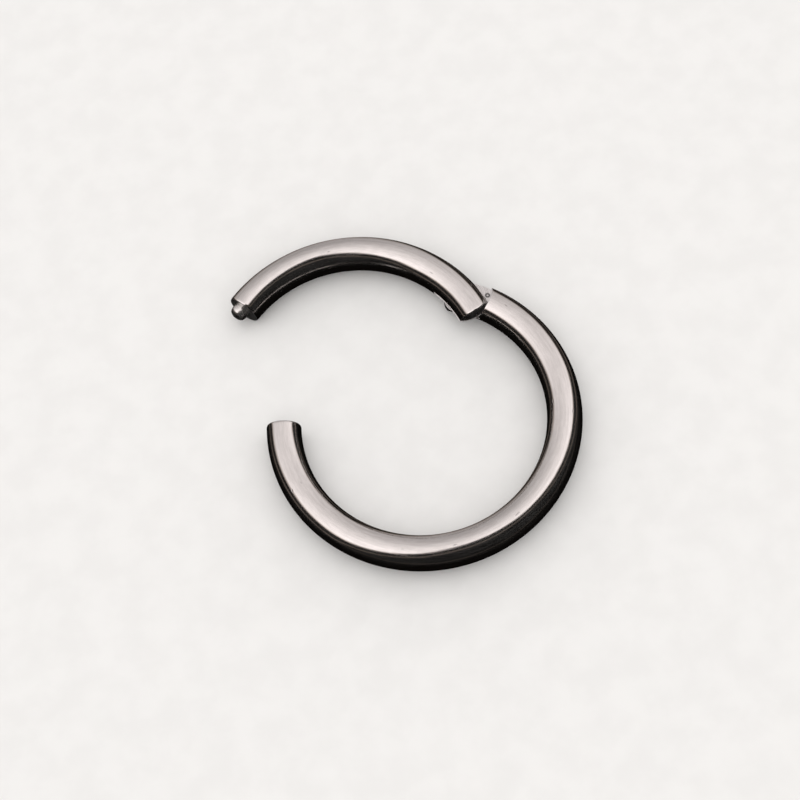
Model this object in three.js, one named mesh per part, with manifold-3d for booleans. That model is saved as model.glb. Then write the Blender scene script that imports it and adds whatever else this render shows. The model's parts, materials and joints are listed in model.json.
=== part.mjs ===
// Hinged segment ring: a round-wire piercing ring that opens on a lap hinge.
// Millimetres, +Z up. The ring lies flat, its wire resting on Z = 0, with the gate swung open.

import * as THREE from 'three';
import * as BufferGeometryUtils from 'three/addons/utils/BufferGeometryUtils.js';
import Module from 'manifold-3d';

const wasm = await Module();
wasm.setup();

// Driving dimensions: lengths in millimetres, angles in degrees counter-clockwise from +X.
const WIRE_D = 1.2;
const INSIDE_D = 8.4;
const HINGE_AT = 62.9;
const GATE_END_AT = 171;
const GATE_OPEN = 35.5;

// Lap hinge: the main ring keeps the lower half of the wire and the gate the upper half.
// All its radii are about the pivot: the gate's round end turns inside the main ring's step,
// and the main ring's round tongue inside the gate's recess.
const LAP_GAP = 0.04;
const KNUCKLE_R = 0.97;
const STEP_R = 1.07;
const TONGUE_END_R = 0.66;
const RECESS_R = 1;
const RIVET_D = 0.5;
const RIVET_BOTTOM = 0.06;
const RIVET_TOP = 1;
const RIVET_GAP = 0.02;

// Latch: a pin in the gate's end face and a tapered socket in the main ring's end face.
const END_GAP = 0.04;
const PIN_D = 0.6;
const PIN_OUTWARD = 0.08;
const PIN_SEAT = 0.45;
const PIN_STRAIGHT = 0.13;
const PIN_DOME = 0.25;
const PIN_GAP = 0.02;
const SOCKET_DEPTH = 0.44;
const SOCKET_BOTTOM_R = 0.34;
const SOCKET_MOUTH_R = 0.4;
const SOCKET_LEAN = 0.08;
const SOCKET_PAST = 0.2;

// Facets.
const SECTION_SIDES = 24;
const RING_STEPS = 96;
const HINGE_SIDES = 48;
const PIN_SIDES = 24;
const DOME_STEPS = 5;
const WEDGE_STEP = 30;

// Worked out from the dimensions above.
const WIRE_R = WIRE_D / 2;
const RING_R = (INSIDE_D + WIRE_D) / 2;
const MID_Z = WIRE_R;
const TONGUE_TOP = MID_Z - LAP_GAP / 2;
const LAP_BOTTOM = MID_Z + LAP_GAP / 2;
const GATE_FACE_AT = GATE_END_AT - THREE.MathUtils.radToDeg(END_GAP / RING_R);

// Vertices closer than this are one vertex when a geometry becomes a solid.
const MERGE_TOLERANCE = 1e-6;

// Cutting tools run from below the wire to above it.
const BELOW = -1;
const ABOVE = WIRE_D + 1;

function onRing(degrees, radius = RING_R) {
  const angle = THREE.MathUtils.degToRad(degrees);
  return new THREE.Vector3(radius * Math.cos(angle), radius * Math.sin(angle), MID_Z);
}

const pivot = onRing(HINGE_AT);

// ---------- conversions between geometries and solids ----------

function solidOf(geometry) {
  const bare = geometry.clone();
  bare.deleteAttribute('normal');
  bare.deleteAttribute('uv');
  const merged = BufferGeometryUtils.mergeVertices(bare, MERGE_TOLERANCE);
  return new wasm.Manifold(new wasm.Mesh({
    numProp: 3,
    vertProperties: new Float32Array(merged.attributes.position.array),
    triVerts: new Uint32Array(merged.index.array),
  }));
}

function geometryOf(solid) {
  const { vertProperties, triVerts } = solid.getMesh();
  const geometry = new THREE.BufferGeometry();
  geometry.setAttribute('position', new THREE.BufferAttribute(vertProperties, 3));
  geometry.setIndex(new THREE.BufferAttribute(triVerts, 1));
  return geometry;
}

// ---------- the wire and the tools that cut it ----------

// The whole ring of wire. The section is a polygon with a flat side below, so that the ring rests on it.
function wireRing() {
  const cornerR = WIRE_R / Math.cos(Math.PI / SECTION_SIDES);
  const profile = [];
  for (let i = 0; i <= SECTION_SIDES; i += 1) {
    const angle = ((i % SECTION_SIDES) + 0.5) * 2 * Math.PI / SECTION_SIDES;
    profile.push(new THREE.Vector2(RING_R + cornerR * Math.cos(angle), cornerR * Math.sin(angle)));
  }
  const ring = new THREE.LatheGeometry(profile, RING_STEPS);
  ring.rotateX(Math.PI / 2);
  ring.translate(0, 0, MID_Z);
  return solidOf(ring);
}

// A wedge of the plan, from one angle to another, between two heights.
function wedge(fromDegrees, toDegrees, bottom, top) {
  const reach = 2 * RING_R;
  const steps = Math.ceil((toDegrees - fromDegrees) / WEDGE_STEP);
  const outline = new THREE.Shape();
  outline.moveTo(0, 0);
  for (let i = 0; i <= steps; i += 1) {
    const corner = onRing(fromDegrees + (toDegrees - fromDegrees) * i / steps, reach);
    outline.lineTo(corner.x, corner.y);
  }
  outline.closePath();
  const prism = new THREE.ExtrudeGeometry(outline, { depth: top - bottom, bevelEnabled: false });
  prism.translate(0, 0, bottom);
  return solidOf(prism);
}

// An upright cylinder round the hinge's axis.
function hingeDisc(radius, bottom, top, sides = HINGE_SIDES) {
  const disc = new THREE.CylinderGeometry(radius, radius, top - bottom, sides);
  disc.rotateX(Math.PI / 2);
  disc.translate(pivot.x, pivot.y, (bottom + top) / 2);
  return solidOf(disc);
}

// Turns a shape made along +Y to run along the wire at the latch, with its origin on an end face.
function placeAtLatch(geometry, degrees, outward) {
  geometry.rotateZ(THREE.MathUtils.degToRad(degrees));
  const seat = onRing(degrees, RING_R + outward);
  geometry.translate(seat.x, seat.y, seat.z);
  return geometry;
}

// ---------- latch pin, used for the pin itself and for the bore that holds it ----------

function latchPin(gap) {
  const radius = PIN_D / 2 + gap;
  const profile = [new THREE.Vector2(0, -PIN_SEAT - gap)];
  profile.push(new THREE.Vector2(radius, -PIN_SEAT - gap));
  for (let i = 0; i < DOME_STEPS; i += 1) {
    const angle = i / DOME_STEPS * Math.PI / 2;
    profile.push(new THREE.Vector2(radius * Math.cos(angle), PIN_STRAIGHT + PIN_DOME * Math.sin(angle)));
  }
  profile.push(new THREE.Vector2(0, PIN_STRAIGHT + PIN_DOME));
  const pin = new THREE.LatheGeometry(profile, PIN_SIDES);
  return placeAtLatch(pin, GATE_FACE_AT, PIN_OUTWARD);
}

// The socket widens to its mouth and leans outward, because the pin swings into it from the outside.
function latchSocket() {
  const length = SOCKET_DEPTH + SOCKET_PAST;
  const outerR = SOCKET_BOTTOM_R + (SOCKET_MOUTH_R - SOCKET_BOTTOM_R) * length / SOCKET_DEPTH;
  const cone = new THREE.CylinderGeometry(SOCKET_BOTTOM_R, outerR, length, PIN_SIDES);
  cone.translate(0, SOCKET_DEPTH - length / 2, 0);
  cone.rotateZ(Math.atan2(SOCKET_LEAN, SOCKET_DEPTH));
  return placeAtLatch(cone, GATE_END_AT, PIN_OUTWARD + SOCKET_LEAN);
}

// ---------- the two arcs, both shaped with the gate closed ----------

function mainRing() {
  const upperSpace = wedge(HINGE_AT, GATE_END_AT, TONGUE_TOP, ABOVE)
    .add(hingeDisc(STEP_R, TONGUE_TOP, ABOVE));
  const lowerSpace = wedge(HINGE_AT, GATE_END_AT, BELOW, TONGUE_TOP)
    .subtract(hingeDisc(TONGUE_END_R, BELOW, TONGUE_TOP));
  return wireRing()
    .subtract(upperSpace)
    .subtract(lowerSpace)
    .subtract(hingeDisc(RIVET_D / 2 + RIVET_GAP, BELOW, ABOVE, PIN_SIDES))
    .subtract(solidOf(latchSocket()));
}

function gateSegment() {
  const upperBody = wedge(HINGE_AT, GATE_FACE_AT, LAP_BOTTOM, ABOVE)
    .add(hingeDisc(KNUCKLE_R, LAP_BOTTOM, ABOVE));
  const lowerBody = wedge(HINGE_AT, GATE_FACE_AT, BELOW, LAP_BOTTOM)
    .subtract(hingeDisc(RECESS_R, BELOW, LAP_BOTTOM));
  return wireRing()
    .intersect(upperBody.add(lowerBody))
    .subtract(hingeDisc(RIVET_D / 2 + RIVET_GAP, BELOW, RIVET_TOP + RIVET_GAP, PIN_SIDES))
    .subtract(solidOf(latchPin(PIN_GAP)));
}

function hingeRivet() {
  return hingeDisc(RIVET_D / 2, RIVET_BOTTOM, RIVET_TOP, PIN_SIDES);
}

// ---------- scene graph ----------

function part(name, geometry, color, roughness) {
  const mesh = new THREE.Mesh(geometry, new THREE.MeshStandardMaterial({ color, roughness, metalness: 1 }));
  mesh.name = name;
  return mesh;
}

const ring = new THREE.Group();
ring.add(part('main_ring', geometryOf(mainRing()), 0xd8d4cf, 0.32));
ring.add(part('hinge_rivet', geometryOf(hingeRivet()), 0xc4c1bd, 0.28));

// The gate turns about the pivot, so its pieces hang in a group that stands there.
const gate = new THREE.Group();
gate.position.copy(pivot);
gate.rotation.z = -THREE.MathUtils.degToRad(GATE_OPEN);
const toPivot = pivot.clone().negate();
gate.add(part('gate_segment', geometryOf(gateSegment()).translate(...toPivot), 0xd8d4cf, 0.32));
gate.add(part('latch_pin', latchPin(0).translate(...toPivot), 0xe2dfdb, 0.22));
ring.add(gate);

// The origin is the middle of the footprint, on the surface that the ring lies on.
const middle = new THREE.Box3().setFromObject(ring, true).getCenter(new THREE.Vector3());
ring.position.set(-middle.x, -middle.y, 0);

const model = new THREE.Group();
model.add(ring);

export default model;
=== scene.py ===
import json
import math

import bmesh
import bpy
import numpy as np
from mathutils import Matrix, Vector


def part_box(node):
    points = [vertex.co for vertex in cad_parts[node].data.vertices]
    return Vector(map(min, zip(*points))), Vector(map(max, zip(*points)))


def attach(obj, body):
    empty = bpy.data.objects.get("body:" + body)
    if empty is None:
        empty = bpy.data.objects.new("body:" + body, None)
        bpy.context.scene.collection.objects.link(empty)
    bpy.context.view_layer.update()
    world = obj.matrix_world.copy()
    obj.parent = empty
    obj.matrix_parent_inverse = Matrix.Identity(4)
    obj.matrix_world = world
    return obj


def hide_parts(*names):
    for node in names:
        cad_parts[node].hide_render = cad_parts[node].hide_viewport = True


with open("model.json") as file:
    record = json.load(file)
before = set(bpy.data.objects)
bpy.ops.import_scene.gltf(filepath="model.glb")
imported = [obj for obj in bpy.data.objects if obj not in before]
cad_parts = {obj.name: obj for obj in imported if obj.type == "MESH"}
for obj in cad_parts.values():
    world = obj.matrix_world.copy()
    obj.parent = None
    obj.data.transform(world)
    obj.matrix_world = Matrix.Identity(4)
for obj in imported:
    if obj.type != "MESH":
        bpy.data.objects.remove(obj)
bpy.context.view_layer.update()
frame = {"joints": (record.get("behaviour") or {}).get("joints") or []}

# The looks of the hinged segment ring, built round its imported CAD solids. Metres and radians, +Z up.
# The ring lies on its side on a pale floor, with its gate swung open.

MM = 0.001


# ---------- sizes ----------

# Taken from the frame: the ring's own axis stands over RING_CENTRE.
main_low, main_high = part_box("main_ring")
WIRE_R = (main_high.z - main_low.z) / 2
OUTSIDE_R = (main_high.x - main_low.x) / 2
RING_R = OUTSIDE_R - WIRE_R
FLOOR_Z = main_low.z
RING_CENTRE = Vector(((main_low.x + main_high.x) / 2, main_low.y + OUTSIDE_R, FLOOR_Z + WIRE_R))
hinge = frame["joints"][0]
PIVOT = Vector(hinge["pos_m"])
HINGE_AT = math.atan2(PIVOT.y - RING_CENTRE.y, PIVOT.x - RING_CENTRE.x)
GATE_OPEN = -math.radians(hinge["range_deg"][0])

# The lap hinge. Radii are about the pivot. RIVET_CAP_R bounds the one face in the middle of the rivet's end.
LAP_GAP = 0.04 * MM
STEP_R = 1.07 * MM
TONGUE_END_R = 0.66 * MM
RECESS_R = 1.0 * MM
KNUCKLE_R = 0.97 * MM
BORE_R = 0.27 * MM
GATE_BORE_TOP = 0.42 * MM
RIVET_R = 0.25 * MM
RIVET_CAP_R = 0.1 * MM

# The section of the burr that cutting the lap left round the edge of the gate's knuckle: outward and height.
BURR_MM = [(-0.02, -0.004), (0.008, -0.001), (0.018, -0.003),
           (0.018, -0.009), (0.008, -0.012), (-0.02, -0.014)]
BURR = [(outward * MM, height * MM) for outward, height in BURR_MM]

# The latch: a pin in the gate's end face and a tapered socket in the main ring's.
FREE_END_AT = math.radians(171)
END_GAP = 0.04 * MM
PIN_OUTWARD = 0.08 * MM
PIN_R = 0.3 * MM
PIN_SEAT = 0.45 * MM
PIN_STRAIGHT = 0.13 * MM
PIN_DOME = 0.25 * MM
PIN_BORE_R = 0.32 * MM
SOCKET_MOUTH_R = 0.4 * MM
SOCKET_BOTTOM_R = 0.34 * MM
SOCKET_DEPTH = 0.44 * MM
SOCKET_LEAN = 0.08 * MM

# The dome's rows, as angles up from its foot. A power below 1 makes it blunter than an ellipse.
PIN_BLUNT = 0.8
DOME_FROM, DOME_TO, DOME_STEP = 0.15, 1.45, 0.16

# The lengths of both arcs, as angles about the ring's axis.
MAIN_LENGTH = 2 * math.pi - (FREE_END_AT - HINGE_AT)
GATE_LENGTH = FREE_END_AT - END_GAP / RING_R - HINGE_AT

# How fine the meshes are before they are subdivided. EDGE is how far from an edge its rounding starts, and
# RIM the same at the lap's step and at its round end. BORE_ROOM is half the length of the gap in the rows for
# the rivet's bore. From each line of the lap face to the next, the least inset grows by INSET_GROWS edges.
HALF_SIDES = 20
ROUND_SIDES = 32
ROW_LENGTH = 0.27 * MM
TONGUE_ROW = 0.17 * MM
EDGE = 0.03 * MM
RIM = 0.045 * MM
CHAMFER_ALONG = 0.06 * MM
CHAMFER_IN = 0.022 * MM
BORE_ROOM = 0.42 * MM
INSET_GROWS = 0.75
LARGEST_TIGHT = 0.3
SUBDIVISIONS = 2
WELD = 1e-5 * MM

# An edge that turns by more than this is worn bright: its wear, and a painted highlight along it.
SHARP = math.radians(40)

# The last rows before the step, as shares of the way to it.
APPROACH = [0.35, 0.7, 1 - RIM / (2 * ROW_LENGTH), 1]

# The rows of the walls at the step and at the round end, as shares of their height.
WALL = [0, RIM / WIRE_R, 0.5, 1 - RIM / WIRE_R, 1]


# ---------- meshes ----------

class Shell:
    """Grids of quads, welded into one closed mesh."""

    def __init__(self):
        self.mesh = bmesh.new()

    def face(self, corners, machined):
        """A face through these vertices, left out where they lie in fewer than three places."""
        kept = [v for n, v in enumerate(corners) if (v.co - corners[n - 1].co).length > WELD]
        if len(kept) > 2:
            self.mesh.faces.new(kept).material_index = int(machined)

    def grid(self, rows, machined=False, closed=False, hole=None):
        """Quads between rows of equally many points, none of them in the hole.

        hole is (first row, last row, first column, last column).
        """
        made = [[self.mesh.verts.new(point) for point in row] for row in rows]
        for r, (lower, upper) in enumerate(zip(made, made[1:])):
            for c in range(len(lower) if closed else len(lower) - 1):
                if hole and hole[0] <= r < hole[1] and hole[2] <= c < hole[3]:
                    continue
                after = (c + 1) % len(lower)
                self.face((lower[c], lower[after], upper[after], upper[c]), machined)

    def bridge(self, loop, other):
        """A machined band between two closed loops, with rows close to both so that its edges stay tight."""
        rows = [[], [], [], [], []]
        for start, end in zip(loop, other):
            tight = min(EDGE / (end - start).length, LARGEST_TIGHT)
            for row, share in zip(rows, (0, tight, 0.5, 1 - tight, 1)):
                row.append(start.lerp(end, share))
        self.grid(rows, machined=True, closed=True)

    def bead(self, path, section):
        """A thin bead along a level path, closed at both ends. section is a list of (outward, height)."""
        rows = []
        for n, point in enumerate(path):
            along = path[min(n + 1, len(path) - 1)] - path[max(n - 1, 0)]
            outward = Vector((along.y, -along.x, 0)).normalized()
            rows.append([point + outward * out + Vector((0, 0, height)) for out, height in section])
        self.grid(rows, machined=True, closed=True)
        self.cap(rows[0])
        self.cap(rows[-1])

    def cap(self, loop, machined=True):
        """One face that closes a loop."""
        self.face([self.mesh.verts.new(point) for point in loop], machined)

    def bored(self, rows, hole, surface, machined=False):
        """A grid with a round bore about the pivot in its hole. Returns the bore's rim.

        surface gives the height at a distance from the ring's axis.
        """
        first_row, last_row, first, last = hole
        self.grid(rows, machined, hole=hole)
        loop = [rows[first_row][c] for c in range(first, last)]
        loop += [rows[r][last] for r in range(first_row, last_row)]
        loop += [rows[last_row][c] for c in range(last, first, -1)]
        loop += [rows[r][first] for r in range(last_row, first_row, -1)]
        flat = [(point.x, point.y) for point in loop]
        turns = angles_about((RING_R, 0), flat)
        rim = ring_about((RING_R, 0), BORE_R, turns)
        inset = ring_about((RING_R, 0), BORE_R + EDGE, turns)
        band = [[Vector((x, y, surface(math.hypot(x, y)))) for x, y in row]
                for row in (flat, halfway(flat, inset), inset, rim)]
        self.grid(band, machined, closed=True)
        return band[-1]

    def mark_edges(self):
        """Notes in the mesh which vertices lie on an outward edge."""
        on_edge = self.mesh.verts.layers.float.new("edge")
        for edge in self.mesh.edges:
            if edge.is_manifold and edge.calc_face_angle_signed() > SHARP:
                for vertex in edge.verts:
                    vertex[on_edge] = 1.0

    def piece(self, name, matrix, place, *materials):
        """The welded and subdivided mesh, moved by matrix into the frame. It notes each point's place."""
        bmesh.ops.remove_doubles(self.mesh, verts=self.mesh.verts, dist=WELD)
        bmesh.ops.recalc_face_normals(self.mesh, faces=self.mesh.faces)
        self.mark_edges()
        coarse = bpy.data.meshes.new(name + "_coarse")
        self.mesh.to_mesh(coarse)
        self.mesh.free()
        for material in materials:
            coarse.materials.append(material)
        holder = bpy.data.objects.new(name + "_coarse", coarse)
        bpy.context.scene.collection.objects.link(holder)
        smooth = holder.modifiers.new("smooth", "SUBSURF")
        smooth.levels = SUBDIVISIONS
        smooth.render_levels = SUBDIVISIONS
        seen = holder.evaluated_get(bpy.context.evaluated_depsgraph_get())
        mesh = bpy.data.meshes.new_from_object(seen)
        bpy.data.objects.remove(holder)
        bpy.data.meshes.remove(coarse)
        mesh.name = name
        mesh.shade_smooth()
        points = np.zeros(len(mesh.vertices) * 3)
        mesh.vertices.foreach_get("co", points)
        noted = np.stack(place(*points.reshape(-1, 3).T), 1) / MM
        places = mesh.attributes.new("place", "FLOAT_VECTOR", "POINT")
        places.data.foreach_set("vector", noted.astype(np.float32).ravel())
        mesh.transform(matrix)
        made = bpy.data.objects.new(name, mesh)
        bpy.context.scene.collection.objects.link(made)
        return made


def place_on_wire(x, y, z):
    """The length along the wire, and the offset outward and up from its middle."""
    angle = (np.arctan2(y, x) - PAST_TONGUE) % (2 * math.pi)
    return RING_R * angle, np.hypot(x, y) - RING_R, z


def place_as_it_is(x, y, z):
    return x, y, z


def steps(start, end, length):
    """Evenly spread numbers from start to end, about length apart."""
    return np.linspace(start, end, max(2, 1 + round(abs(end - start) / length)))


def at(rho, angle, z):
    return Vector((rho * math.cos(angle), rho * math.sin(angle), z))


def wire_height(rho):
    """Half the wire's height at that distance from the ring's axis."""
    return math.sqrt(max(0.0, WIRE_R ** 2 - (rho - RING_R) ** 2))


def to_cylinder(radius, rho):
    """The angle along the circle of radius rho from the pivot to the cylinder of that radius round it."""
    return math.acos((rho * rho + RING_R * RING_R - radius * radius) / (2 * rho * RING_R))


def on_cylinder(radius, start, end, share):
    """The point that share of the way from start to end, kept on the upright cylinder round the pivot."""
    point = start.lerp(end, share)
    flat = Vector((point.x - RING_R, point.y)).normalized() * radius
    return Vector((RING_R + flat.x, flat.y, point.z))


def drawn_in_on(radius, rho, z):
    """The wire's surface on that cylinder, drawn in for a bevel that runs out at the lap face."""
    drawn = 1 - CHAMFER_IN / WIRE_R * (abs(z) + LAP_Z) / WIRE_R
    rho = RING_R + (rho - RING_R) * drawn
    return at(rho, to_cylinder(radius, rho), z * drawn)


def ring_about(centre, radius, angles):
    return [(centre[0] + radius * math.cos(t), centre[1] + radius * math.sin(t)) for t in angles]


def angles_about(centre, points):
    return [math.atan2(y - centre[1], x - centre[0]) for x, y in points]


def halfway(some, others):
    return [((a[0] + b[0]) / 2, (a[1] + b[1]) / 2) for a, b in zip(some, others)]


# ---------- an arc of wire with one end lapped ----------
#
# It is made with the ring's axis through the origin, the wire's middle at height 0 and the pivot on the X
# axis. The arc runs back from the pivot, clockwise, to its free end. At the pivot its upper half stops at a
# round step, and its lower half runs on as a round-ended tongue. The gate is such an arc turned over.

SIDE_ANGLE = math.asin(LAP_GAP / 2 / WIRE_R)
LAP_Z = -LAP_GAP / 2

# Lengths along the wire are noted from this angle on, which is past the tongue.
PAST_TONGUE = math.pi / 3


def section_angles(first):
    """Angles round half of the wire, from its outer side to its inner side, closer together at both."""
    inner = np.linspace(first + EDGE / WIRE_R, math.pi - first - EDGE / WIRE_R, HALF_SIDES - 1)
    return [first, *inner, math.pi - first]


UPPER = section_angles(-SIDE_ANGLE)
LOWER = section_angles(SIDE_ANGLE)


def lap_offsets():
    """How far out each line along the lap face lies, from the ring's middle line."""
    side = WIRE_R * math.cos(SIDE_ANGLE)
    offsets = []
    for n, angle in enumerate(LOWER):
        nearest = min(n, len(LOWER) - 1 - n)
        natural = WIRE_R * math.cos(angle)
        least = EDGE * (1 + INSET_GROWS * (nearest - 1))
        inset = max(side - abs(natural), least) if nearest else 0.0
        offsets.append(math.copysign(side - inset, natural))
    return offsets


# The lines along the wire that its rows cross: distance from the ring's axis, and height.
TOP_LINES = [(RING_R + WIRE_R * math.cos(b), WIRE_R * math.sin(b)) for b in UPPER]
UNDER_LINES = [(RING_R + WIRE_R * math.cos(a), -WIRE_R * math.sin(a)) for a in LOWER]
LAP_LINES = [(RING_R + offset, LAP_Z) for offset in lap_offsets()]


def rows_across(lines, angles_of):
    """Rows of points across the wire. angles_of gives the angles of all of a line's points from its rho."""
    along = [angles_of(rho) for rho, _ in lines]
    return [[at(rho, angle, z) for (rho, z), angle in zip(lines, row)] for row in zip(*along)]


def body_rows(lines, length, step_r):
    """The rows from the free end to the step. The first is drawn in, for the chamfer round the free end."""
    plain_from = -length + CHAMFER_ALONG / RING_R
    approach_from = -(step_r + 2 * ROW_LENGTH) / RING_R
    plain = steps(plain_from + EDGE / RING_R, approach_from, ROW_LENGTH / RING_R)

    def angles(rho):
        step = -to_cylinder(step_r, rho)
        return [-length, plain_from, *plain, *(approach_from + (step - approach_from) * f for f in APPROACH)]

    rows = rows_across(lines, angles)
    drawn_in = 1 - CHAMFER_IN / WIRE_R
    rows[0] = [at(RING_R + (rho - RING_R) * drawn_in, -length, z * drawn_in) for rho, z in lines]
    return rows


def tongue_shares(step_r, tongue_r):
    """The tongue's rows as shares of its span, and the first and last row of the hole for the bore."""
    span = step_r + tongue_r
    near, far = (step_r - BORE_ROOM) / span, (step_r + BORE_ROOM) / span
    before = steps(EDGE / span, near, TONGUE_ROW / span)
    beside = steps(near, far, TONGUE_ROW / span)
    beyond = steps(far, 1 - RIM / span, TONGUE_ROW / span)
    return [0, *before, *beside[1:], *beyond[1:], 1], (len(before), len(before) + len(beside) - 1)


def free_end(shell, length, end_hole):
    """The free end's face and the hole in it, in the plane across the wire."""
    deep, (mouth_out, mouth_r), (bottom_out, bottom_r) = end_hole
    face_r = WIRE_R - CHAMFER_IN
    edge_loop = [(face_r * math.cos(b), face_r * math.sin(b)) for b in UPPER]
    edge_loop += [(face_r * math.cos(a), -face_r * math.sin(a)) for a in LOWER[-2:0:-1]]
    turns = angles_about((mouth_out, 0), edge_loop)
    into = at(1, -length + math.pi / 2, 0)

    def in_end(loop, depth):
        return [at(RING_R + x, -length, z) + into * depth for x, z in loop]

    mouth = in_end(ring_about((mouth_out, 0), mouth_r, turns), 0)
    bottom_of_hole = in_end(ring_about((bottom_out, 0), bottom_r, turns), deep)
    shell.bridge(in_end(edge_loop, 0), mouth)
    shell.bridge(mouth, bottom_of_hole)
    shell.cap(bottom_of_hole)


def lapped_arc(length, step_r, tongue_r, bore_floor, end_hole, burr=None):
    """The arc's shell. length is an angle, and the rivet's bore goes right through where bore_floor is None.

    end_hole is (depth, outward and radius at the mouth, outward and radius at the bottom).
    """
    shell = Shell()
    shares, hole_rows = tongue_shares(step_r, tongue_r)
    last = len(LOWER) - 1
    hole = (*hole_rows, last // 4, last - last // 4)

    def tongue_angles(rho):
        step, end = -to_cylinder(step_r, rho), to_cylinder(tongue_r, rho)
        return [step + (end - step) * f for f in shares]

    top_rows = body_rows(TOP_LINES, length, step_r)
    under_rows = body_rows(UNDER_LINES, length, step_r)
    lap_rows = rows_across(LAP_LINES, tongue_angles)
    tongue_rows = rows_across(UNDER_LINES, tongue_angles)
    tongue_rows[-1] = [drawn_in_on(tongue_r, rho, z) for rho, z in UNDER_LINES]

    shell.grid(top_rows)
    shell.grid(under_rows)
    walls = ((step_r, top_rows[-1], lap_rows[0]), (tongue_r, lap_rows[-1], tongue_rows[-1]))
    for radius, start, end in walls:
        rows = [[on_cylinder(radius, a, b, share) for a, b in zip(start, end)] for share in WALL]
        shell.grid(rows, machined=True)

    rim = shell.bored(lap_rows, hole, lambda rho: LAP_Z, machined=True)
    if bore_floor is None:
        far_rim = shell.bored(tongue_rows, hole, lambda rho: -wire_height(rho))
    else:
        shell.grid(tongue_rows)
        far_rim = [Vector((point.x, point.y, bore_floor)) for point in rim]
        shell.cap(far_rim)
    shell.bridge(rim, far_rim)

    if burr:
        round_end = lap_rows[-1][1:-1]
        shell.bead([row[0] for row in lap_rows] + round_end + [row[-1] for row in reversed(lap_rows)], burr)
    free_end(shell, length, end_hole)
    return shell


def lathe(profile, matrix, name, material):
    """A round piece about its own Z axis, capped at both ends. profile is a list of (radius, height)."""
    shell = Shell()
    turns = [2 * math.pi * n / ROUND_SIDES for n in range(ROUND_SIDES)]
    rows = [[Vector((r * math.cos(t), r * math.sin(t), h)) for t in turns] for r, h in profile]
    shell.grid(rows, closed=True)
    shell.cap(rows[0], machined=False)
    shell.cap(rows[-1], machined=False)
    return shell.piece(name, matrix, place_as_it_is, material)


# ---------- materials ----------

# The noises' grain to the millimetre: along the wire, outward and up, or along a round piece's X, Y and Z.
# The floor's is to the metre.
STREAK_GRAIN = (0.9, 16, 16)
MOTTLE_GRAIN = (3, 9, 9)
NICK_GRAIN = (2.2, 7, 7)
ARC_GRAIN = 24.0
SPECK_GRAIN = (14, 14, 14)
TURNED_GRAIN = (2, 2, 26)
RUB_GRAIN = 9.0
GROUND_GRAIN = (4, 40, 4)
FLOOR_GRAIN = 900.0
FINE = {"detail": 3, "roughness": 0.6}
STREAK_SHARE, MOTTLE_SHARE = 0.6, 0.4

# A noise's usual low and high, and the rare highs where nicks and specks start and are full.
USUAL = (0.3, 0.7)
NICKED = (0.73, 0.78)
SPECKED = (0.64, 0.72)
RINGED = (0.35, 0.65)
RING_TOPS = (0.4, 0.6)
RUBBED = (0.4, 0.7)

# Roughness at a noise's low and high, how much smoother a worn edge is, and how much rougher a turned ring.
SATIN_ROUGH = (0.11, 0.17)
CUT_ROUGH = (0.24, 0.36)
PIN_ROUGH = (0.2, 0.3)
RIVET_ROUGH = (0.25, 0.4)
WORN_SMOOTHER = 0.04
RINGS_ROUGHER = 0.04

# Pairs of colours are the dull and the clean steel.
SATIN_COLOURS = (0.69, 0.67, 0.65), (0.79, 0.77, 0.75)
CUT_COLOURS = (0.56, 0.55, 0.54), (0.76, 0.75, 0.74)
PIN_COLOURS = (0.76, 0.75, 0.73), (0.87, 0.86, 0.84)
RIVET_COLOURS = (0.55, 0.54, 0.52), (0.7, 0.69, 0.67)
FLOOR_COLOURS = (0.77, 0.76, 0.75), (0.8, 0.79, 0.78)
# Worn edges: their wear, and a painted highlight along them.
WORN_HIGHLIGHT_COLOUR = (0.96, 0.95, 0.94)
NICK_COLOUR = (0.3, 0.29, 0.28)
SPECK_COLOUR = (0.35, 0.34, 0.33)
# Painted shade in the punch mark's recess.
MARK_SHADE_COLOUR = (0.04, 0.04, 0.04)
# Painted shade for the step and the lap face beside it.
STEP_SHADE_COLOUR = (0.05, 0.045, 0.04)

# How much of each colour shows where it is at its fullest.
WORN_HIGHLIGHT_SHOWS = 0.8
NICK_SHOWS = 0.4
SPECK_SHOWS = 0.5
MARK_SHADE_SHOWS = 0.95
STEP_SHADE_SHOWS = 0.9

SCRATCH_DEPTH = 0.004 * MM
TURNED_DEPTH = 0.003 * MM
STREAK_RELIEF = 0.5
BUMP, FAINT_BUMP = 0.6, 0.5

# Where the pivot lies along the wire in each mesh's noted places, in millimetres.
PIVOT_ALONG = RING_R / MM * (2 * math.pi - PAST_TONGUE)

# The ring-shaped punch mark on the lap face, darkened with painted shade in its recess: along the wire and
# outward from the pivot, in millimetres.
MARK = (-0.797, 0.337)
MARK_R = 0.06
MARK_WIDTH = 0.055

# Painted shade darkens the step and the lap face beside it, standing in for the shade in the deep gap by the
# gate's knuckle. It comes up to full between these radii about the pivot and between these offsets outward.
# It reaches back along the wire to 2 mm short of the pivot, and lies no lower than the lap face, give or take
# LAP_SLACK. All are in millimetres.
STEP_SHADE_RADIUS = (0.86, 0.93)
STEP_SHADE_OUTWARD = (0.15, -0.1)
STEP_SHADE_FROM = PIVOT_ALONG - 2
LAP_SLACK = 0.001


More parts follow.
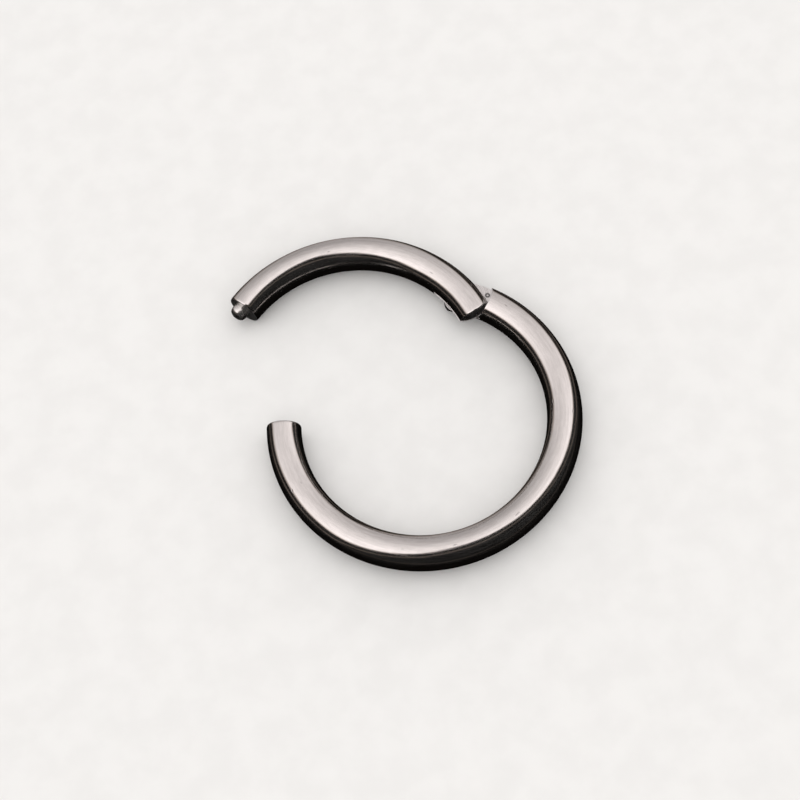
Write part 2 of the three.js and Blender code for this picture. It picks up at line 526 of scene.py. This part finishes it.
class Nodes:
    """A node tree, built by short calls."""

    def __init__(self, name="", tree=None):
        self.tree = tree
        if name:
            self.material = bpy.data.materials.new(name)
            self.material.use_nodes = True
            self.tree = self.material.node_tree
            self.shader = self.tree.nodes["Principled BSDF"]

    def add(self, kind, inputs=None, **settings):
        node = self.tree.nodes.new("ShaderNode" + kind)
        for key, value in settings.items():
            setattr(node, key, value)
        for key, value in (inputs or {}).items():
            self.set(node, key, value)
        return node

    def set(self, node, key, value):
        if isinstance(value, bpy.types.NodeSocket):
            self.tree.links.new(value, node.inputs[key])
        else:
            node.inputs[key].default_value = value

    def attribute(self, name, output="Vector"):
        return self.add("Attribute", attribute_name=name).outputs[output]

    def noise(self, vector, scale, detail=2.0, roughness=0.5):
        inputs = {"Vector": vector, "Scale": scale, "Detail": detail, "Roughness": roughness}
        return self.add("TexNoise", inputs).outputs["Fac"]

    def grained(self, vector, grain, detail=2.0, roughness=0.5):
        """A noise with a grain of its own along each axis."""
        scaled = self.add("VectorMath", {0: vector, 1: grain}, operation="MULTIPLY").outputs[0]
        return self.noise(scaled, 1.0, detail, roughness)

    def math(self, operation, *values):
        node = self.add("Math", operation=operation)
        for n, value in enumerate(values):
            self.set(node, n, value)
        return node.outputs[0]

    def times(self, value, other):
        return self.math("MULTIPLY", value, other)

    def distance(self, some, other):
        """The length of a level vector from its two parts."""
        return self.math("SQRT", self.math("ADD", self.times(some, some), self.times(other, other)))

    def ramp(self, value, low, high, start=0.0, end=1.0):
        """value's range from low to high, turned smoothly into start to end."""
        inputs = {"Value": value, 1: low, 2: high, 3: start, 4: end}
        return self.add("MapRange", inputs, interpolation_type="SMOOTHSTEP").outputs[0]

    def mix(self, share, first, second):
        node = self.add("Mix", data_type="RGBA")
        self.set(node, "Factor", share)
        for key, colour in ((6, first), (7, second)):
            self.set(node, key, colour if isinstance(colour, bpy.types.NodeSocket) else (*colour, 1))
        return node.outputs[2]

    def bump(self, height, distance, strength=BUMP):
        return self.add("Bump", {"Height": height, "Distance": distance, "Strength": strength}).outputs[0]

    def finish(self, colour, roughness, normal=None, metallic=1.0):
        """The material, with these on its shader."""
        inputs = {"Base Color": colour, "Roughness": roughness, "Metallic": metallic}
        for key, value in inputs.items():
            self.set(self.shader, key, value)
        if normal is not None:
            self.set(self.shader, "Normal", normal)
        return self.material


def satin_steel():
    """Drawn and brushed wire: faint long streaks, a fine mottle, a few nicks, and worn edges painted
    brighter, partly wear and partly a painted highlight.
    """
    nodes = Nodes("satin_steel")
    wire = nodes.attribute("place")
    edge = nodes.attribute("edge", "Fac")
    streaks = nodes.grained(wire, STREAK_GRAIN, **FINE)
    mottle = nodes.grained(wire, MOTTLE_GRAIN)
    nicks = nodes.ramp(nodes.grained(wire, NICK_GRAIN, 1), *NICKED)
    tone = nodes.math("ADD", nodes.times(streaks, STREAK_SHARE), nodes.times(mottle, MOTTLE_SHARE))
    colour = nodes.mix(nodes.ramp(tone, *USUAL), *SATIN_COLOURS)
    colour = nodes.mix(nodes.times(nicks, NICK_SHOWS), colour, NICK_COLOUR)
    # Worn edges painted bright: partly wear, partly a painted highlight.
    colour = nodes.mix(nodes.times(edge, WORN_HIGHLIGHT_SHOWS), colour, WORN_HIGHLIGHT_COLOUR)
    rough = nodes.ramp(streaks, *USUAL, *SATIN_ROUGH)
    rough = nodes.math("SUBTRACT", rough, nodes.times(edge, WORN_SMOOTHER))
    height = nodes.math("SUBTRACT", nodes.times(streaks, STREAK_RELIEF), nicks)
    return nodes.finish(colour, rough, nodes.bump(height, SCRATCH_DEPTH))


def machined_steel():
    """Faces cut at the lap and the ends: the cutter's arcs, specks, a punch mark darkened with painted shade,
    painted shade at the step, and worn edges painted bright, partly as a painted highlight.
    """
    nodes = Nodes("machined_steel")
    wire = nodes.attribute("place")
    edge = nodes.attribute("edge", "Fac")
    along, outward, up = nodes.add("SeparateXYZ", {0: wire}).outputs
    from_pivot = nodes.math("SUBTRACT", along, PIVOT_ALONG)
    radius = nodes.distance(from_pivot, outward)
    across_arcs = nodes.add("CombineXYZ", {0: nodes.times(radius, ARC_GRAIN), 1: up}).outputs[0]
    arcs = nodes.noise(across_arcs, 1.0, **FINE)
    specks = nodes.ramp(nodes.grained(wire, SPECK_GRAIN, 1), *SPECKED)
    mark_along, mark_outward = (nodes.math("SUBTRACT", value, middle)
                                for value, middle in zip((from_pivot, outward), MARK))
    from_mark = nodes.math("SUBTRACT", nodes.distance(mark_along, mark_outward), MARK_R)
    dent = nodes.ramp(nodes.math("ABSOLUTE", from_mark), 0.0, MARK_WIDTH, 1.0, 0.0)
    # Painted shade at the step: the step and the lap face beside it are darkened where the gap by the knuckle
    # is deep.
    step_shade = nodes.times(nodes.ramp(radius, *STEP_SHADE_RADIUS), nodes.ramp(outward, *STEP_SHADE_OUTWARD))
    step_shade = nodes.times(step_shade, nodes.math("GREATER_THAN", along, STEP_SHADE_FROM))
    step_shade = nodes.times(step_shade, nodes.math("GREATER_THAN", up, LAP_Z / MM - LAP_SLACK))
    colour = nodes.mix(nodes.ramp(arcs, *USUAL), *CUT_COLOURS)
    colour = nodes.mix(nodes.times(specks, SPECK_SHOWS), colour, SPECK_COLOUR)
    # Painted shade: the punch mark's ring is darkened as its recess would be shaded.
    colour = nodes.mix(nodes.times(dent, MARK_SHADE_SHOWS), colour, MARK_SHADE_COLOUR)
    colour = nodes.mix(nodes.times(step_shade, STEP_SHADE_SHOWS), colour, STEP_SHADE_COLOUR)
    # Worn edges painted bright: partly wear, partly a painted highlight.
    colour = nodes.mix(nodes.times(edge, WORN_HIGHLIGHT_SHOWS), colour, WORN_HIGHLIGHT_COLOUR)
    height = nodes.math("SUBTRACT", arcs, nodes.math("ADD", specks, dent))
    return nodes.finish(colour, nodes.ramp(arcs, *USUAL, *CUT_ROUGH), nodes.bump(height, SCRATCH_DEPTH))


def bright_steel():
    """The latch pin: polished, with faint rings from turning and a little rubbing on its dome."""
    nodes = Nodes("bright_steel")
    place = nodes.attribute("place")
    rings = nodes.grained(place, TURNED_GRAIN)
    rub = nodes.noise(place, RUB_GRAIN)
    colour = nodes.mix(nodes.ramp(rings, *RINGED), *PIN_COLOURS)
    rougher = nodes.ramp(rings, *RING_TOPS, 0.0, RINGS_ROUGHER)
    rough = nodes.math("ADD", nodes.ramp(rub, *RUBBED, *PIN_ROUGH), rougher)
    return nodes.finish(colour, rough, nodes.bump(rings, TURNED_DEPTH, FAINT_BUMP))


def rivet_steel():
    """The rivet's end, ground flush: fine straight lines one way."""
    nodes = Nodes("rivet_steel")
    lines = nodes.grained(nodes.attribute("place"), GROUND_GRAIN, **FINE)
    colour = nodes.mix(nodes.ramp(lines, *USUAL), *RIVET_COLOURS)
    return nodes.finish(colour, nodes.ramp(lines, *USUAL, *RIVET_ROUGH), nodes.bump(lines, TURNED_DEPTH))


# ---------- the object ----------

def turned(angle, axis="Z"):
    return Matrix.Rotation(angle, 4, axis)


def main_ring():
    end_hole = (SOCKET_DEPTH, (PIN_OUTWARD + SOCKET_LEAN, SOCKET_MOUTH_R), (PIN_OUTWARD, SOCKET_BOTTOM_R))
    shell = lapped_arc(MAIN_LENGTH, STEP_R, TONGUE_END_R, None, end_hole)
    place = Matrix.Translation(RING_CENTRE) @ turned(HINGE_AT)
    return shell.piece("main_ring_wire", place, place_on_wire, satin, machined)


def gate_matrix():
    """Turns an arc from lapped_arc over about the line to the pivot, sets it in place and swings it open."""
    swung = Matrix.Translation(PIVOT) @ turned(-GATE_OPEN) @ Matrix.Translation(-PIVOT)
    return swung @ Matrix.Translation(RING_CENTRE) @ turned(HINGE_AT) @ turned(math.pi, "X")


def gate_segment():
    end_hole = (PIN_SEAT + PIN_BORE_R - PIN_R, (PIN_OUTWARD, PIN_BORE_R), (PIN_OUTWARD, PIN_BORE_R))
    shell = lapped_arc(GATE_LENGTH, RECESS_R, KNUCKLE_R, -GATE_BORE_TOP, end_hole, BURR)
    return shell.piece("gate_wire", gate_matrix(), place_on_wire, satin, machined)


def latch_pin():
    profile = [(PIN_R - EDGE, -PIN_SEAT), (PIN_R, -PIN_SEAT + EDGE), (PIN_R, 0), (PIN_R, PIN_STRAIGHT)]
    profile += [(PIN_R * math.cos(t) ** PIN_BLUNT, PIN_STRAIGHT + PIN_DOME * math.sin(t) ** PIN_BLUNT)
                for t in steps(DOME_FROM, DOME_TO, DOME_STEP)]
    seat = Matrix.Translation(at(RING_R + PIN_OUTWARD, -GATE_LENGTH, 0))
    outward = seat @ turned(-GATE_LENGTH) @ turned(math.pi / 2, "X")
    return lathe(profile, gate_matrix() @ outward, "latch_pin_dome", bright)


def hinge_rivet():
    low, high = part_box("hinge_rivet")
    bottom, top = low.z - RING_CENTRE.z, high.z - RING_CENTRE.z
    profile = [(RIVET_CAP_R, bottom), (RIVET_R - EDGE, bottom), (RIVET_R, bottom + EDGE / 2)]
    profile += [(RIVET_R, bottom + 2 * EDGE), (RIVET_R, top - 2 * EDGE)]
    profile += [(RIVET_R, top - EDGE / 2), (RIVET_R - EDGE, top)]
    return lathe(profile, Matrix.Translation(PIVOT) @ turned(HINGE_AT), "rivet_pin", rivet)


satin, machined, bright, rivet = satin_steel(), machined_steel(), bright_steel(), rivet_steel()
for made, node, body, slot in (
        (main_ring(), "main_ring", "ring", "satin_steel"),
        (gate_segment(), "gate_segment", "gate", "satin_steel"),
        (latch_pin(), "latch_pin", "gate", "bright_steel"),
        (hinge_rivet(), "hinge_rivet", "ring", "rivet_steel")):
    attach(made, body)
    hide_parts(node)


# ---------- floor, light and camera ----------

FLOOR_R = 0.6
FLOOR_SIDES = 96
FLOOR_ROUGH = 0.9

# The light's rim, at even turns of the compass from +X counter-clockwise: how far from the zenith it lies
# and how soft it is, both in degrees.
LIGHT_RIM = [(42, 14), (75, 12), (88, 14), (128, 60), (102, 40), (73, 20),
             (62, 18), (57, 14), (22, 12), (1, 12), (1, 12), (9, 12)]
LIGHT_COLOUR = (1.0, 0.93, 0.925)

# How bright the light is overhead, and how that changes towards +Y, towards +X and towards both sides.
LIGHT_LEVEL = 0.86
LIGHT_BY_Y = -0.55
LIGHT_BY_X = 0.08
LIGHT_BY_X_SQUARED = 0.1

# A thin dim strip runs round the light, STRIP_OUT degrees outside its rim, and a dimmer glow lies along the
# horizon. Both are warm. Levels are as the steel shows them, and it reflects STEEL_REFLECTS of what it sees.
STRIP_OUT = 28
STRIP_HALF = 5
STRIP = 0.1
SKIRTING = 0.02
SKIRTING_HALF = 0.1
DARK = 0.002
WARM_COLOUR = (1.0, 0.8, 0.68)
STEEL_REFLECTS = 0.74

ROOM_COLOUR = (0.86, 0.85, 0.84)
ROOM_LEVEL = 1.34
ROOM_BY_Y = 0.2

# The camera. FOCAL is in widths of the view, and the aim is off the ring's centre by AIM_LEFT and AIM_UP.
ELEVATION = math.radians(67.21)
ROLL = math.radians(11.5)
DISTANCE = 12 * RING_R
FOCAL = 2.1118
AIM_LEFT, AIM_UP = 0.8012 * MM, 0.6403 * MM
SENSOR_WIDTH = 36
NEAREST, FURTHEST = 1 * MM, 10


def floor():
    """A plain pale sheet, hidden from reflections so that the steel's sides stay dark, as on dark cloth."""
    mesh = bmesh.new()
    bmesh.ops.create_circle(mesh, cap_ends=True, radius=FLOOR_R, segments=FLOOR_SIDES)
    data = bpy.data.meshes.new("floor")
    mesh.to_mesh(data)
    mesh.free()
    sheet = bpy.data.objects.new("floor", data)
    sheet.location.z = FLOOR_Z
    bpy.context.scene.collection.objects.link(sheet)
    nodes = Nodes("pale_floor")
    grain = nodes.noise(nodes.add("TexCoord").outputs["Object"], FLOOR_GRAIN, 3)
    colour = nodes.mix(nodes.ramp(grain, *USUAL), *FLOOR_COLOURS)
    data.materials.append(nodes.finish(colour, FLOOR_ROUGH, metallic=0.0))
    sheet.visible_glossy = False


def light_rim(nodes, x, y):
    """The tilt and the softness of the light's rim in a direction, both as shares of 180 degrees."""
    turn = nodes.math("FRACT", nodes.times(nodes.math("ARCTAN2", y, x), 1 / (2 * math.pi)))
    rim = nodes.add("ValToRGB", {"Fac": turn})
    table = rim.color_ramp.elements
    last = len(LIGHT_RIM)
    for n, (tilt, softness) in enumerate([*LIGHT_RIM, LIGHT_RIM[0]]):
        stop = table[0] if n == 0 else table[-1] if n == last else table.new(n / last)
        stop.position = n / last
        stop.color = (tilt / 180, softness / 180, 0, 1)
    return nodes.add("SeparateColor", {0: rim.outputs["Color"]}).outputs[:2]


def studio():
    """A large soft light high beyond the ring, which doesn't reach the near side, and a pale room round it.

    Only reflections show the light. The floor is lit by the room.
    """
    world = bpy.data.worlds.new("studio")
    bpy.context.scene.world = world
    world.use_nodes = True
    nodes = Nodes(tree=world.node_tree)
    x, y, z = nodes.add("SeparateXYZ", {0: nodes.add("TexCoord").outputs["Generated"]}).outputs
    rim_tilt, softness = light_rim(nodes, x, y)
    tilt = nodes.times(nodes.math("ARCCOSINE", z), 1 / math.pi)
    from_rim = nodes.math("SUBTRACT", rim_tilt, tilt)
    lit = nodes.ramp(nodes.math("DIVIDE", from_rim, softness), -0.5, 0.5)
    from_strip = nodes.math("ABSOLUTE", nodes.math("ADD", from_rim, STRIP_OUT / 180))
    strip = nodes.ramp(from_strip, 0.0, STRIP_HALF / 180, STRIP, 0.0)
    brightness = nodes.math("MULTIPLY_ADD", y, LIGHT_BY_Y, LIGHT_LEVEL)
    brightness = nodes.math("MULTIPLY_ADD", x, LIGHT_BY_X, brightness)
    brightness = nodes.math("MULTIPLY_ADD", nodes.times(x, x), LIGHT_BY_X_SQUARED, brightness)
    skirting = nodes.ramp(nodes.math("ABSOLUTE", z), 0.0, SKIRTING_HALF, SKIRTING + DARK, DARK)
    level = nodes.math("MULTIPLY_ADD", brightness, lit, nodes.math("ADD", skirting, strip))
    background = world.node_tree.nodes["Background"]
    nodes.set(background, "Color", nodes.mix(lit, WARM_COLOUR, LIGHT_COLOUR))
    nodes.set(background, "Strength", nodes.times(level, 1 / STEEL_REFLECTS))
    room = nodes.add("Background", {"Color": (*ROOM_COLOUR, 1)})
    nodes.set(room, "Strength", nodes.math("MULTIPLY_ADD", y, ROOM_BY_Y, ROOM_LEVEL))
    mirrored = nodes.add("LightPath").outputs["Is Glossy Ray"]
    shown = nodes.add("MixShader", {0: mirrored, 1: room.outputs[0], 2: background.outputs[0]})
    nodes.set(world.node_tree.nodes["World Output"], "Surface", shown.outputs[0])


def camera():
    """Looks down at the ring from the front, turned a little about its own line of sight."""
    data = bpy.data.cameras.new("camera")
    data.sensor_width = SENSOR_WIDTH
    data.lens = SENSOR_WIDTH * FOCAL
    data.clip_start = NEAREST
    data.clip_end = FURTHEST
    made = bpy.data.objects.new("camera", data)
    bpy.context.scene.collection.objects.link(made)
    back = Vector((0, -math.cos(ELEVATION), math.sin(ELEVATION)))
    level_right = Vector((1, 0, 0))
    level_up = back.cross(level_right)
    right = math.cos(ROLL) * level_right - math.sin(ROLL) * level_up
    up = math.sin(ROLL) * level_right + math.cos(ROLL) * level_up
    place = RING_CENTRE + back * DISTANCE
    aim = RING_CENTRE - right * AIM_LEFT + up * AIM_UP
    back = (place - aim).normalized()
    right = up.cross(back).normalized()
    up = back.cross(right)
    made.matrix_world = Matrix.Translation(place) @ Matrix((right, up, back)).transposed().to_4x4()
    bpy.context.scene.camera = made


floor()
studio()
camera()
bpy.context.scene.view_settings.view_transform = "Standard"
